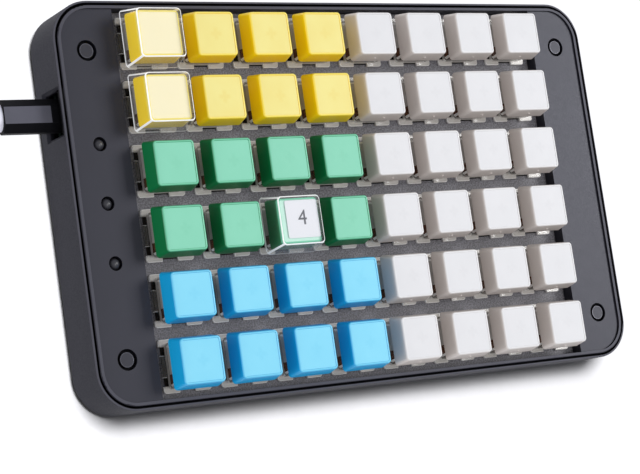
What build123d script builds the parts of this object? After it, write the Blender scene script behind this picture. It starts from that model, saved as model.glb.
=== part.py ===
from build123d import *
import math
import os

# A one-handed keypad with its lead, in millimetres. The origin is on the table, under the middle
# of the case. X runs along the rows of keys, Y to the back row, Z up.

# Key grid
key_columns = 8
key_rows = 6
key_pitch = 19.05
key_travel = 4.0

# Key caps
cap_top_height = 12.2
cap_height = 5.5
cap_top_width = 13.2
cap_base_width = 15.0
cap_wall = 1.1
cap_roof = 1.2
cap_corner = 1.0
cap_rim_width = 0.7
cap_rim_height = 0.4
cap_post = 5.6
gated_column = 5
gate_width = 0.9
gate_lift = 1.9
gate_proud = 0.25

# Clear covers that snap over a key cap, and the paper label under one of them
covered_keys = [(1, 1), (2, 1), (4, 3)]
labelled_keys = [(4, 3)]
cover_height = 8.2
cover_above_cap = 1.9
cover_top_width = 14.6
cover_base_width = 17.4
cover_wall = 0.8
cover_pocket = 0.4
cover_corner = 1.2
cover_clip_width = 3.2
cover_clip_height = 1.1
cover_clip_proud = 0.2
label_width = 11.4
label_thickness = 0.25

# Switches: the depth runs from the top of the plate down to the board
switch_depth = 5.0
switch_body = 13.8
switch_wall = 1.2
switch_floor = 1.0
flange_width = 15.6
flange_thickness = 1.0
flange_corner = 0.8
flange_notch_width = 5.2
flange_notch_depth = 1.2
clip_width = 3.6
clip_height = 0.8
clip_proud = 0.3
locating_pin = 3.9
housing_height = 6.6
housing_skirt_width = 13.6
press_clearance = 0.4
housing_base_width = 12.0
housing_top_width = 10.2
housing_wall = 0.9
housing_roof = 1.2
housing_corner = 0.6
leaf_width = 3.0
leaf_thickness = 0.3
leaf_spacing = 5.0
leaf_offset = 4.8
leaf_above_flange = 0.6
leg_width = 0.9
leg_below_board = 1.7

# Sliders: a plunger in the housing, a shoulder that stops it, and a cross that carries the cap
plunger_length = 6.8
plunger_depth = 6.2
plunger_above_housing = 0.2
plunger_height = 5.7
plunger_clearance = 0.3
shoulder_length = 8.2
shoulder_depth = 7.4
shoulder_height = 1.3
shoulder_clearance = 0.1
cross_span = 4.0
cross_arm = 1.2
cross_height = 3.4
cross_clearance = 0.05

# Return springs, as sleeves of the wire's inner and outer width
spring_diameter = 4.2
spring_wire = 0.5
spring_side_clearance = 0.2
spring_end_clearance = 0.1
spring_seat_depth = 2.5

# Plate and circuit board
plate_thickness = 1.5
plate_end_clearance = 3.1
plate_side_clearance = 0.45
plate_corner = 8.0
plate_cutout_clearance = 0.1
board_thickness = 1.6
board_end_clearance = 1.1
board_side_clearance = 0.9
pin_clearance = 0.3
board_boss_clearance = 0.4
chip_width = 7.0
chip_height = 1.0
chip_from_well = 6.0
chip_from_middle = 30.0

# Case: a tray with a thin lip, and a cover that drops inside the lip with a groove round it
well_end_margin = 0.65
well_depth = 4.2
side_panel_width = 17.4
panel_thickness = 2.2
well_wall = 1.5
bead_width = 1.1
bead_height = 0.6
bead_round = 0.35
cover_groove = 0.45
lip_thickness = 0.8
lip_rise = 0.3
ledge_rise = 0.3
tray_wall = 2.0
floor_thickness = 2.0
case_corner = 12.0
bottom_round = 1.0
standoff_height = 3.5
standoff_diameter = 5.0
standoff_columns = [-3, 0, 3]
standoff_rows = [-1, 1]

# Corner screws and the plugs over their heads
fastener_from_well = 9.5
fastener_from_edge = 14.7
boss_diameter = 8.0
screw_diameter = 2.8
screw_length = 10.0
screw_clearance = 0.2
screw_tip_room = 0.4
screw_head = 5.5
screw_head_height = 1.8
screw_socket = 2.5
screw_socket_depth = 1.0
screw_seat = 1.0
plug_bore = 6.2
plug_diameter = 5.0
plug_flange = 5.8
plug_flange_height = 0.5
plug_sunk = 0.2
plug_chamfer = 0.25

# Indicator lamps, soldered to the board and standing in holes of the side panel
lamp_count = 3
lamp_pitch = 17.3
lamp_from_well = 9.2
lamp_hole = 4.2
lamp_diameter = 3.4
lamp_proud = 0.2
lamp_height = 4.1
lamp_flange = 4.0
lamp_flange_height = 1.0
lamp_plate_hole = 5.0
lamp_leg = 0.5
lamp_leg_spacing = 2.54

# Rubber feet
foot_diameter = 11.0
foot_thickness = 2.6
foot_recess = 0.8
foot_clearance = 0.2
foot_from_end = 16.0
foot_from_side = 15.0

# Socket on the board, the window in the case wall, and the plug in it
usb_y = 27.4
socket_width = 8.6
socket_height = 3.2
socket_depth = 6.6
socket_wall = 0.35
window_width = 12.8
window_below_plug = 0.4
window_bridge = 0.8
window_flare = 0.9
plug_width = 9.8
plug_height = 6.4
plug_facet = 5.1
plug_side = 2.4
plug_rear_proud = 15.7
plug_nose_gap = 0.5
shell_width = 6.9
shell_height = 1.9
shell_corner = 0.6
shell_depth = 5.0
relief_width = 8.4
relief_height = 5.2
relief_tip = 4.8
relief_corner = 2.2
relief_length = 10.0

# Lead: a short free stretch, a flat coil of two layers, and a computer plug beside the coil
cord_diameter = 3.6
lead_straight = 8.0
lead_slope = 11.0
lead_level = 8.0
lead_arc_share = 0.45
coil_half_turns = 8
coil_outer_radius = 30.0
coil_pitch = 4.8
coil_layer_height = 4.7
coil_exit_step = 8.0
coil_sample = 1.8
host_relief_length = 12.0
host_relief_base = 6.4
host_relief_tip = 4.8
host_body_width = 15.6
host_body_height = 7.2
host_body_length = 24.0
host_body_chamfer = 1.2
host_shell_width = 12.0
host_shell_height = 4.5
host_shell_length = 12.0
host_shell_wall = 0.4
host_tongue_height = 1.9
host_tongue_length = 9.0

# One overrun serves every cut that runs past a face
overrun = 1.0

# Heights above the table, from the feet up
tray_low = foot_thickness - foot_recess
floor_top = tray_low + floor_thickness
board_low = floor_top + standoff_height
board_top = board_low + board_thickness
plate_top = board_top + switch_depth
plate_low = plate_top - plate_thickness
ledge_top = plate_top + ledge_rise
flange_top = plate_top + flange_thickness
panel_top = plate_top + well_depth
panel_low = panel_top - panel_thickness
bead_top = panel_top + bead_height
lip_top = panel_top + lip_rise
housing_top = plate_top + housing_height
housing_ceiling = housing_top - housing_roof
cap_top = plate_top + cap_top_height
cap_low = cap_top - cap_height
cap_ceiling = cap_top - cap_roof
skirt_top = cap_low - key_travel - press_clearance
cover_top = cap_top + cover_above_cap
cover_low = cover_top - cover_height
plunger_top = housing_top + plunger_above_housing
plunger_low = plunger_top - plunger_height
shoulder_top = housing_ceiling - shoulder_clearance
shoulder_low = shoulder_top - shoulder_height
spring_low = board_top + switch_floor
spring_seat = plunger_low + spring_seat_depth
screw_seat_top = plate_top + screw_seat
usb_z = board_top + socket_height / 2

# Lengths and widths, from the key grid out
well_length = key_columns * key_pitch + 2 * well_end_margin
well_width = key_rows * key_pitch
panel_length = well_length + 2 * side_panel_width
lid_length = panel_length + 2 * bead_width
lid_width = well_width + 2 * bead_width
lid_corner = case_corner - lip_thickness - cover_groove
rebate_length = lid_length + 2 * cover_groove
rebate_width = lid_width + 2 * cover_groove
case_length = rebate_length + 2 * lip_thickness
case_width = rebate_width + 2 * lip_thickness
inner_length = case_length - 2 * tray_wall
inner_width = case_width - 2 * tray_wall
inner_corner = case_corner - tray_wall
board_length = inner_length - 2 * board_end_clearance
board_width = inner_width - 2 * board_side_clearance
fastener_x = well_length / 2 + fastener_from_well
fastener_y = case_width / 2 - fastener_from_edge
fastener_places = [(i * fastener_x, j * fastener_y) for i in (-1, 1) for j in (-1, 1)]
lamp_x = -well_length / 2 - lamp_from_well
lamp_places = [(lamp_x, (i - (lamp_count - 1) / 2) * lamp_pitch) for i in range(lamp_count)]
foot_x = case_length / 2 - foot_from_end
foot_y = case_width / 2 - foot_from_side
foot_places = [(i * foot_x, j * foot_y) for i in (-1, 1) for j in (-1, 1)]
standoff_places = [(i * key_pitch, j * key_pitch) for i in standoff_columns for j in standoff_rows]
leaf_places = [(-leaf_spacing / 2, leaf_offset), (leaf_spacing / 2, leaf_offset)]
board_edge = -board_length / 2
plug_rear = -case_length / 2 - plug_rear_proud
plug_front = board_edge - plug_nose_gap


def key_place(row, column):
    """The middle of a key: row 1 is the back row, column 1 the left one."""
    x = (column - (key_columns + 1) / 2) * key_pitch
    y = ((key_rows + 1) / 2 - row) * key_pitch
    return x, y


key_keys = [(r, c) for r in range(1, key_rows + 1) for c in range(1, key_columns + 1)]
key_places = [key_place(r, c) for r, c in key_keys]


def block(length, width, low, high, x=0, y=0):
    """An upright block between two heights."""
    return Pos(x, y, (low + high) / 2) * Box(length, width, high - low)


def rod(diameter, low, high, x=0, y=0):
    """An upright round bar between two heights."""
    return Pos(x, y, (low + high) / 2) * Cylinder(diameter / 2, high - low)


def slab(length, width, corner, low, high):
    """An upright plate with round corners."""
    return Pos(0, 0, low) * extrude(RectangleRounded(length, width, corner), high - low)


def taper(low_width, high_width, corner, low, high):
    """A square block that narrows upwards, with round corners."""
    bottom = Pos(0, 0, low) * RectangleRounded(low_width, low_width, corner)
    top = Pos(0, 0, high) * RectangleRounded(high_width, high_width, corner)
    return loft([bottom, top], ruled=True)


def taper_width(low_width, high_width, low, high, height):
    """The width of such a block at one height."""
    return low_width + (high_width - low_width) * (height - low) / (high - low)


def lying(outline, start, end):
    """An outline in Y and Z, drawn round the middle, as a bar along X."""
    plane = Plane(origin=(start, usb_y, usb_z), x_dir=(0, 1, 0), z_dir=(1, 0, 0))
    return extrude(plane * outline, end - start)


def save(name, pieces):
    """Write one node, with each of its pieces as a separate solid."""
    solids = [solid for piece in pieces for solid in piece.solids()]
    export_step(Compound(solids), os.path.join("parts", f"{name}.step"))
    print(name, len(solids), "solids", round(sum(solid.volume for solid in solids), 1), "mm3")


def key_cap():
    """A hollow tapered cap with a raised rim round its top and a post inside."""
    ceiling_width = taper_width(cap_base_width, cap_top_width, cap_low, cap_top, cap_ceiling)
    cap = taper(cap_base_width, cap_top_width, cap_corner, cap_low, cap_top)
    cap -= taper(
        cap_base_width - 2 * cap_wall,
        ceiling_width - 2 * cap_wall,
        cap_corner / 2,
        cap_low,
        cap_ceiling,
    )
    recess_width = cap_top_width - 2 * cap_rim_width
    cap -= slab(recess_width, recess_width, cap_corner / 2, cap_top - cap_rim_height, cap_top + overrun)
    cap += rod(cap_post, plunger_top, cap_ceiling)
    return cap - cross(cross_clearance, plunger_top, plunger_top + cross_height + cross_clearance)


def gated_cap():
    """A white cap: the same shape with the mark of its moulding gate on the front."""
    low = cap_low + gate_lift
    face_y = taper_width(cap_base_width, cap_top_width, cap_low, cap_top, low) / 2
    depth = cap_wall / 2 + gate_proud
    mark_y = depth / 2 - gate_proud - face_y
    return key_cap() + block(gate_width, depth, low, low + gate_width, 0, mark_y)


def cross(clearance, low, high):
    """The cross on top of a slider, or the socket for it."""
    span = cross_span + 2 * clearance
    arm = cross_arm + 2 * clearance
    return block(span, arm, low, high) + block(arm, span, low, high)


def slider():
    """The moving core of a switch, bored from below for its spring."""
    core = block(plunger_length, plunger_depth, plunger_low, plunger_top)
    core += block(shoulder_length, shoulder_depth, shoulder_low, shoulder_top)
    core += cross(0, plunger_top, plunger_top + cross_height)
    bore = spring_diameter + 2 * spring_side_clearance
    return core - rod(bore, plunger_low - overrun, spring_seat)


def clear_cover():
    """A clear shell over a cap: it seats on the cap's rim, and a shallow pocket clears the label."""
    seat_outside = taper_width(cover_base_width, cover_top_width, cover_low, cover_top, cap_top)
    cover = taper(cover_base_width, cover_top_width, cover_corner, cover_low, cover_top)
    cover -= taper(
        cover_base_width - 2 * cover_wall,
        seat_outside - 2 * cover_wall,
        cap_corner / 2,
        cover_low,
        cap_top,
    )
    pocket = cap_top_width - 2 * cap_rim_width
    cover -= block(pocket, pocket, cap_top, cap_top + cover_pocket)
    clip_depth = cover_wall / 2 + cover_clip_proud
    clip_y = cover_clip_proud - cover_base_width / 2 + clip_depth / 2
    cover += block(cover_clip_width, clip_depth, cover_low, cover_low + cover_clip_height, 0, clip_y)
    return cover


def label():
    """A square of paper lying in the recess on top of a cap."""
    low = cap_top - cap_rim_height
    return block(label_width, label_width, low, low + label_thickness)


def switch_base():
    """A lower housing: a box through the plate with a notched flange on it and clips below it."""
    base = block(switch_body, switch_body, board_top, flange_top)
    base += slab(flange_width, flange_width, flange_corner, plate_top, flange_top)
    base += rod(locating_pin, board_low, board_top)
    cavity = switch_body - 2 * switch_wall
    base -= block(cavity, cavity, spring_low, flange_top + overrun)
    notch_y = flange_width / 2 - flange_notch_depth / 2
    clip_y = switch_body / 2 + clip_proud / 2
    for side in (-1, 1):
        base -= block(
            flange_notch_width,
            flange_notch_depth,
            plate_top,
            flange_top + overrun,
            0,
            side * notch_y,
        )
        base += block(clip_width, clip_proud, plate_low - clip_height, plate_low, 0, side * clip_y)
    for x, y in leaf_places:
        base -= rod(leg_width + 2 * pin_clearance, board_top - overrun, spring_low + overrun, x, y)
    return base


def contact_leaf(x, y):
    """A copper leaf that stands in a lower housing, with its leg through the board."""
    leaf = block(leaf_width, leaf_thickness, spring_low, flange_top + leaf_above_flange, x, y)
    return leaf + block(leg_width, leaf_thickness, board_low - leg_below_board, spring_low, x, y)


def switch_top():
    """A clear upper housing with an opening for the slider."""
    top = block(housing_skirt_width, housing_skirt_width, flange_top, skirt_top)
    top += taper(housing_base_width, housing_top_width, housing_corner, skirt_top, housing_top)
    ceiling = taper_width(housing_base_width, housing_top_width, skirt_top, housing_top, housing_ceiling)
    cavity = housing_base_width - 2 * housing_wall
    top -= taper(cavity, ceiling - 2 * housing_wall, housing_corner / 2, flange_top, housing_ceiling)
    opening_length = plunger_length + 2 * plunger_clearance
    opening_depth = plunger_depth + 2 * plunger_clearance
    top -= block(opening_length, opening_depth, housing_ceiling - overrun, housing_top + overrun)
    leaf_slot = leaf_thickness + 2 * pin_clearance
    slot_length = leaf_spacing + leaf_width + 2 * pin_clearance
    slot_top = flange_top + leaf_above_flange + pin_clearance
    top -= block(slot_length, leaf_slot, flange_top - overrun, slot_top, 0, leaf_offset)
    return top


def return_spring():
    """A spring's sleeve, from the floor of the lower housing into the slider's bore."""
    high = spring_seat - spring_end_clearance
    inside = spring_diameter - 2 * spring_wire
    return rod(spring_diameter, spring_low, high) - rod(inside, spring_low - overrun, high + overrun)


def switch_plate():
    """The plate that carries the switches, held between the cover's bosses and the tray's."""
    plate = slab(
        inner_length - 2 * plate_end_clearance,
        inner_width - 2 * plate_side_clearance,
        plate_corner,
        plate_low,
        plate_top,
    )
    cutout = switch_body + 2 * plate_cutout_clearance
    below = plate_low - overrun
    above = plate_top + overrun
    cuts = [block(cutout, cutout, below, above, x, y) for x, y in key_places]
    hole = screw_diameter + 2 * screw_clearance
    cuts += [rod(hole, below, above, x, y) for x, y in fastener_places]
    cuts += [rod(lamp_plate_hole, below, above, x, y) for x, y in lamp_places]
    return plate - cuts


def circuit_board():
    """The bare board, with holes for the switches and room for the tray's bosses."""
    board = slab(board_length, board_width, plate_corner, board_low, board_top)
    below = board_low - overrun
    above = board_top + overrun
    boss_hole = boss_diameter + 2 * board_boss_clearance
    pin_hole = locating_pin + 2 * pin_clearance
    leg_hole = leg_width + 2 * pin_clearance
    cuts = [rod(boss_hole, below, above, x, y) for x, y in fastener_places]
    for x, y in key_places:
        cuts.append(rod(pin_hole, below, above, x, y))
        cuts += [rod(leg_hole, below, above, x + i, y + j) for i, j in leaf_places]
    return board - cuts


def usb_socket():
    """The socket on the edge of the board, open to the window."""
    outer = lying(Rectangle(socket_width, socket_height), board_edge, board_edge + socket_depth)
    mouth = Rectangle(socket_width - 2 * socket_wall, socket_height - 2 * socket_wall)
    return outer - lying(mouth, board_edge - overrun, board_edge + socket_depth - socket_wall)


def controller_chip():
    """The controller on the board, under the left panel."""
    x = -well_length / 2 - chip_from_well
    return block(chip_width, chip_width, board_top, board_top + chip_height, x, -chip_from_middle)


def lamp(x, y):
    """A round-topped lamp with its flange in the plate's hole and two legs on the board."""
    top = panel_top + lamp_proud
    low = top - lamp_height
    body = rod(lamp_diameter, low, top - lamp_diameter / 2, x, y)
    body += Pos(x, y, top - lamp_diameter / 2) * Sphere(lamp_diameter / 2)
    body += rod(lamp_flange, low - lamp_flange_height, low, x, y)
    for side in (-1, 1):
        leg_x = x + side * lamp_leg_spacing / 2
        body += block(lamp_leg, lamp_leg, board_top, low - lamp_flange_height, leg_x, y)
    return body


def top_case():
    """The cover: two side panels, a beaded rim all round, well walls and screw bosses."""
    cover = slab(lid_length, lid_width, lid_corner, ledge_top, bead_top)
    top_edges = cover.edges().group_by(Axis.Z)[-1]
    cover = fillet(top_edges, bead_round)
    panel_corner = lid_corner - bead_width
    cover -= slab(panel_length, well_width, panel_corner, panel_top, bead_top + overrun)
    cover -= slab(panel_length, well_width, panel_corner, ledge_top - overrun, panel_low)
    cover -= block(well_length, well_width, ledge_top - overrun, bead_top + overrun)
    wall_x = (well_length + well_wall) / 2
    for side in (-1, 1):
        cover += block(well_wall, well_width, plate_top, panel_top, side * wall_x)
    bosses = [rod(boss_diameter, plate_top, panel_top, x, y) for x, y in fastener_places]
    cover += bosses
    hole = screw_diameter + 2 * screw_clearance
    cuts = [rod(hole, plate_top - overrun, panel_top + overrun, x, y) for x, y in fastener_places]
    cuts += [rod(plug_bore, screw_seat_top, panel_top + overrun, x, y) for x, y in fastener_places]
    cuts += [rod(lamp_hole, panel_low - overrun, panel_top + overrun, x, y) for x, y in lamp_places]
    return cover - cuts


def bottom_case():
    """The tray: floor, walls, a thin lip, screw bosses, board posts, foot recesses and the window."""
    tray = slab(case_length, case_width, case_corner, tray_low, lip_top)
    tray = fillet(tray.edges().group_by(Axis.Z)[0], bottom_round)
    tray -= slab(inner_length, inner_width, inner_corner, floor_top, lip_top + overrun)
    rebate_corner = case_corner - lip_thickness
    tray -= slab(rebate_length, rebate_width, rebate_corner, ledge_top, lip_top + overrun)
    tray += [rod(boss_diameter, floor_top, plate_low, x, y) for x, y in fastener_places]
    tray += [rod(standoff_diameter, floor_top, board_low, x, y) for x, y in standoff_places]
    pilot = screw_diameter + 2 * screw_clearance
    pilot_low = screw_seat_top - screw_length - screw_tip_room
    cuts = [rod(pilot, pilot_low, plate_low + overrun, x, y) for x, y in fastener_places]
    recess = foot_diameter + 2 * foot_clearance
    cuts += [rod(recess, tray_low - overrun, tray_low + foot_recess, x, y) for x, y in foot_places]
    return tray - cuts - window()


def window():
    """The cut in the left wall for the plug, flared outwards at its sides and sill."""
    wall = -case_length / 2
    low = usb_z - plug_height / 2 - window_below_plug
    high = lip_top - window_bridge
    through = block(2 * (tray_wall + overrun), window_width, low, high, wall, usb_y)
    mouth_width = window_width + 2 * window_flare
    inside = Plane(origin=(wall + window_flare, usb_y, (low + high) / 2), x_dir=(0, 1, 0), z_dir=(-1, 0, 0))
    outside = Plane(
        origin=(wall, usb_y, (low - window_flare + high) / 2), x_dir=(0, 1, 0), z_dir=(-1, 0, 0)
    )
    throat = inside * Rectangle(window_width, high - low)
    mouth = outside * Rectangle(mouth_width, high - low + window_flare)
    return through + loft([throat, mouth], ruled=True)


def corner_screw(x, y):
    """A socket-head screw down through the cover and the plate into the tray's boss."""
    screw = rod(screw_head, screw_seat_top, screw_seat_top + screw_head_height)
    screw += rod(screw_diameter, screw_seat_top - screw_length, screw_seat_top)
    socket_low = screw_seat_top + screw_head_height - screw_socket_depth
    hexagon = RegularPolygon(screw_socket / 2, side_count=6, major_radius=False)
    screw -= Pos(0, 0, socket_low) * extrude(hexagon, screw_socket_depth)
    return Pos(x, y, 0) * screw


def screw_plug(x, y):
    """A stepped plug over a screw head, a little below the panel."""
    low = screw_seat_top + screw_head_height
    high = panel_top - plug_sunk
    plug = rod(plug_flange, low, low + plug_flange_height) + rod(plug_diameter, low, high)
    return Pos(x, y, 0) * chamfer(plug.edges().group_by(Axis.Z)[-1], plug_chamfer)


def keyboard_plug():
    """The plug in the window: an eight-sided grip, a thin metal shell and a tapered pale boot."""
    outline = Polygon(
        (plug_facet / 2, plug_height / 2),
        (-plug_facet / 2, plug_height / 2),
        (-plug_width / 2, plug_side / 2),
        (-plug_width / 2, -plug_side / 2),
        (-plug_facet / 2, -plug_height / 2),
        (plug_facet / 2, -plug_height / 2),
        (plug_width / 2, -plug_side / 2),
        (plug_width / 2, plug_side / 2),
        align=None,
    )
    grip = lying(outline, plug_rear, plug_front)
    shell_outline = RectangleRounded(shell_width, shell_height, shell_corner)
    shell = lying(shell_outline, plug_front, plug_front + shell_depth)
    root = Plane(origin=(plug_rear, usb_y, usb_z), x_dir=(0, 1, 0), z_dir=(-1, 0, 0))
    tip = root.offset(relief_length)
    boot = loft(
        [
            root * RectangleRounded(relief_width, relief_height, relief_corner),
            tip * RectangleRounded(relief_tip, relief_tip, relief_corner),
        ],
        ruled=True,
    )
    return [grip, shell, boot]


# The lead leaves the boot level, dips to the top layer of the coil and meets it level again
cord_exit = Vector(plug_rear - relief_length, usb_y, usb_z)
coil_low = cord_diameter / 2
coil_high = coil_low + coil_layer_height
lead_drop = usb_z - coil_high
lead_points = [
    cord_exit,
    cord_exit - Vector(lead_straight, 0, 0),
    cord_exit - Vector(lead_straight + lead_slope, 0, lead_drop),
    cord_exit - Vector(lead_straight + lead_slope + lead_level, 0, lead_drop),
]
coil_start = lead_points[-1]
coil_step = coil_pitch / 2
coil_first_radius = coil_outer_radius + coil_step / 2
coil_middle = coil_start - Vector(cord_diameter + coil_step / 2, coil_first_radius, 0)
host_z = host_body_height / 2


def cord_tube(path, start, direction):
    """A round tube along a path, with its volume compared with its section times its length."""
    tube = sweep(Plane(origin=start, z_dir=direction) * Circle(cord_diameter / 2), path=path)
    expected = math.pi * (cord_diameter / 2) ** 2 * path.length
    print("tube", round(path.length, 1), "mm long, volume share", round(tube.volume / expected, 4))
    return tube


def usb_lead():
    """The free stretch between the boot and the coil, with each bend as wide as its runs allow."""
    radii = []
    for before, corner, after in zip(lead_points, lead_points[1:], lead_points[2:]):
        half_turn = math.radians((corner - before).get_angle(after - corner)) / 2
        shorter = min((corner - before).length, (after - corner).length)
        radii.append(lead_arc_share * shorter / math.tan(half_turn))
    print("lead radii", [round(radius, 1) for radius in radii])
    return cord_tube(FilletPolyline(*lead_points, radius=radii), lead_points[0], (-1, 0, 0))


def coil_stops():
    """Where each half turn starts and ends: in on the top layer, down, and out on the table."""
    distances = [coil_outer_radius - i * coil_step for i in range(coil_half_turns + 1)]
    heights = [coil_high] * len(distances)
    distances += distances[::-1]
    heights += [coil_low] * len(heights)
    distances.append(distances[-1] + coil_exit_step)
    heights.append(host_z)
    level = coil_middle.Z
    return [
        coil_middle + Vector((-1) ** (i + 1) * distance, 0, height - level)
        for i, (distance, height) in enumerate(zip(distances, heights))
    ]


def usb_coil():
    """The wound length as one unbroken tube of half circles, with a straight piece at each end."""
    stops = coil_stops()
    first_middle = coil_middle + Vector(coil_step / 2, 0, 0)
    top = first_middle + Vector(0, coil_first_radius, 0)
    corner = math.sqrt(2) / 2 * coil_first_radius
    edges = [Line(coil_start, top), ThreePointArc(top, first_middle + Vector(-corner, corner, 0), stops[0])]
    for i, (begin, end) in enumerate(zip(stops, stops[1:])):
        radius = (end - begin).length / 2
        bulge = Vector(0, (-1) ** (i + 1) * radius, 0)
        edges.append(ThreePointArc(begin, (begin + end) * 0.5 + bulge, end))
    edges.append(Line(stops[-1], stops[-1] - Vector(0, cord_diameter, 0)))
    path = Wire([edge.edge() for edge in edges])
    print("coil gap to itself", round(self_gap(edges), 2), "mm")
    return cord_tube(path, coil_start, (-1, 0, 0))


def self_gap(edges):
    """The least space between two stretches of the tube, further apart along it than a half turn."""
    places = []
    travelled = 0
    for edge in edges:
        count = math.ceil(edge.length / coil_sample)
        places += [(travelled + edge.length * i / count, edge @ (i / count)) for i in range(count)]
        travelled += edge.length
    tightest = min(edge.length for edge in edges[1:-1])
    gaps = [
        (after - before).length - cord_diameter
        for i, (start, before) in enumerate(places)
        for end, after in places[i:]
        if end - start > tightest
    ]
    return min(gaps)


def host_plug():
    """The computer plug, lying on the table where the coil ends, and pointing to the front."""
    start = coil_stops()[-1] - Vector(0, cord_diameter, 0)
    root = Plane(origin=start, x_dir=(1, 0, 0), z_dir=(0, -1, 0))
    body_plane = root.offset(host_relief_length)
    boot = loft([root * Circle(host_relief_tip / 2), body_plane * Circle(host_relief_base / 2)])
    body = extrude(body_plane * Rectangle(host_body_width, host_body_height), host_body_length)
    body = chamfer(body.edges().filter_by(Axis.Y), host_body_chamfer)
    shell_plane = body_plane.offset(host_body_length)
    shell = extrude(shell_plane * Rectangle(host_shell_width, host_shell_height), host_shell_length)
    hollow_width = host_shell_width - 2 * host_shell_wall
    hollow_height = host_shell_height - 2 * host_shell_wall
    shell -= extrude(shell_plane * Rectangle(hollow_width, hollow_height), host_shell_length + overrun)
    tongue_plane = shell_plane * Pos(0, (host_tongue_height - hollow_height) / 2, 0)
    tongue = extrude(tongue_plane * Rectangle(hollow_width, host_tongue_height), host_tongue_length)
    return [boot, body, shell, tongue]


os.makedirs("parts", exist_ok=True)

plain_key = [key_cap(), slider()]
white_key = [gated_cap(), slider()]
covered_key = plain_key + [clear_cover()]
labelled_key = covered_key + [label()]
for (row, column), (x, y) in zip(key_keys, key_places):
    pieces = white_key if column >= gated_column else plain_key
    if (row, column) in covered_keys:
        pieces = covered_key
    if (row, column) in labelled_keys:
        pieces = labelled_key
    save(f"key_r{row}_c{column}", [Pos(x, y, 0) * piece for piece in pieces])

base_pieces = [switch_base()] + [contact_leaf(x, y) for x, y in leaf_places]
top_piece = switch_top()
spring_piece = return_spring()
save("switch_bases", [Pos(x, y, 0) * piece for x, y in key_places for piece in base_pieces])
save("switch_tops", [Pos(x, y, 0) * top_piece for x, y in key_places])
save("return_springs", [Pos(x, y, 0) * spring_piece for x, y in key_places])
save("switch_plate", [switch_plate()])
save("circuit_board", [circuit_board(), usb_socket(), controller_chip()] + [lamp(x, y) for x, y in lamp_places])
save("top_case", [top_case()])
save("bottom_case", [bottom_case()])
screws = [corner_screw(x, y) for x, y in fastener_places]
save("corner_fasteners", screws + [screw_plug(x, y) for x, y in fastener_places])
save("rubber_feet", [rod(foot_diameter, 0, foot_thickness, x, y) for x, y in foot_places])
save("usb_lead", [usb_lead()])
save("usb_coil", [usb_coil()])
save("cable_plugs", keyboard_plug() + host_plug())
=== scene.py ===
# %% [markdown]
# # A one-handed keypad with its lead
# The solids of the keypad arrive as a fixed frame, and this lesson dresses them. Every piece is
# modelled in millimetres, because the sizes are easier to read that way, and is turned into metres
# when it is finished.

import math

import bmesh
import bpy
from mathutils import Matrix, Vector


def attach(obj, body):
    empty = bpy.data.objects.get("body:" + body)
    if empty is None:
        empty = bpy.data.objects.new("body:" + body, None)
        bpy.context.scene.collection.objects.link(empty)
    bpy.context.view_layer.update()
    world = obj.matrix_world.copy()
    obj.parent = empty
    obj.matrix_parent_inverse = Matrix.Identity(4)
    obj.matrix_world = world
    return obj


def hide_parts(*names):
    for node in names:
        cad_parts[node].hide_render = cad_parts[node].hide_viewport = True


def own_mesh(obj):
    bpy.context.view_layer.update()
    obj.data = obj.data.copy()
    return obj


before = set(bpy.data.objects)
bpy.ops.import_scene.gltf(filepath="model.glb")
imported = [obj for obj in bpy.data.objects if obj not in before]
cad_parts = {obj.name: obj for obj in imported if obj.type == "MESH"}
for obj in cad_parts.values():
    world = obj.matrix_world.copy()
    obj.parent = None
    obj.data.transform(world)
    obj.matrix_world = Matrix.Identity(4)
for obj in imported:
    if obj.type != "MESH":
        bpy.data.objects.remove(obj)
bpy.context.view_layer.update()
mm = 0.001


def put(name, data):
    """A new object in the scene."""
    thing = bpy.data.objects.new(name, data)
    bpy.context.scene.collection.objects.link(thing)
    return thing


# %% [markdown]
# ## Camera
# The picture was taken from the left and above with a long lens, so parallel edges stay nearly
# parallel. The camera could be aimed with a constraint, but a matrix of its three axes and its place
# holds the slight roll of the picture as well.

# %% Camera
lens = bpy.data.cameras.new("camera")
lens.sensor_fit = "HORIZONTAL"
lens.sensor_width = 36.0
lens.lens = 110.707
lens.clip_start = 0.02
lens.clip_end = 30.0
camera = put("camera", lens)
to_right = Vector((0.84194, -0.14204, 0.52054))
to_top = Vector((0.05698, 0.98274, 0.17600))
to_back = Vector((-0.53656, -0.11852, 0.83550))
stands = Vector((-0.335916, -0.084175, 0.515071))
aim = Matrix((to_right, to_top, to_back)).transposed().to_4x4()
aim.translation = stands
camera.matrix_world = aim
bpy.context.scene.camera = camera
print("camera at", [round(value, 3) for value in stands])

# %% [markdown]
# ## The lead's line
# The lead leaves the boot level, dips to a flat coil of two layers, and ends at the computer plug. It
# is one NURBS line: the first points are the free stretch, and the turns are more points of the same
# line, sixteen to a turn. A line of order three runs a little inside its points, so the points of a
# turn stand outside it by that much. Where a strap passes under the coil, the turns lift over it.

# %% Half turns
cord_width = 3.6
coil_middle = (-154.1, -3.8)
half_steps = 8
outset = 1 / math.cos(math.pi / (2 * half_steps))
strap_thickness = 0.7
strap_reach = 14.0


def strap_lift(x, y):
    """How far a point of the coil is lifted by the strap under its front side."""
    away = abs(x - coil_middle[0])
    if y > coil_middle[1] or away > strap_reach:
        return 0
    return strap_thickness * math.cos(math.pi / 2 * away / strap_reach) ** 2


def half_turn(begin, end, begin_height, end_height, side):
    """Points from one stop to the next, round the back (side 1) or the front (side -1)."""
    middle = (begin + end) / 2
    radius = (begin - end) / 2
    points = []
    for step in range(half_steps):
        angle = math.pi * step / half_steps
        x = middle + radius * math.cos(angle) * outset
        y = coil_middle[1] + side * abs(radius) * math.sin(angle) * outset
        height = (begin_height + end_height) / 2 + (begin_height - end_height) / 2 * math.cos(angle)
        points.append((x, y, height + strap_lift(x, y)))
    return points


print("points of a turn stand out by", round(100 * (outset - 1), 1), "percent")

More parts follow.
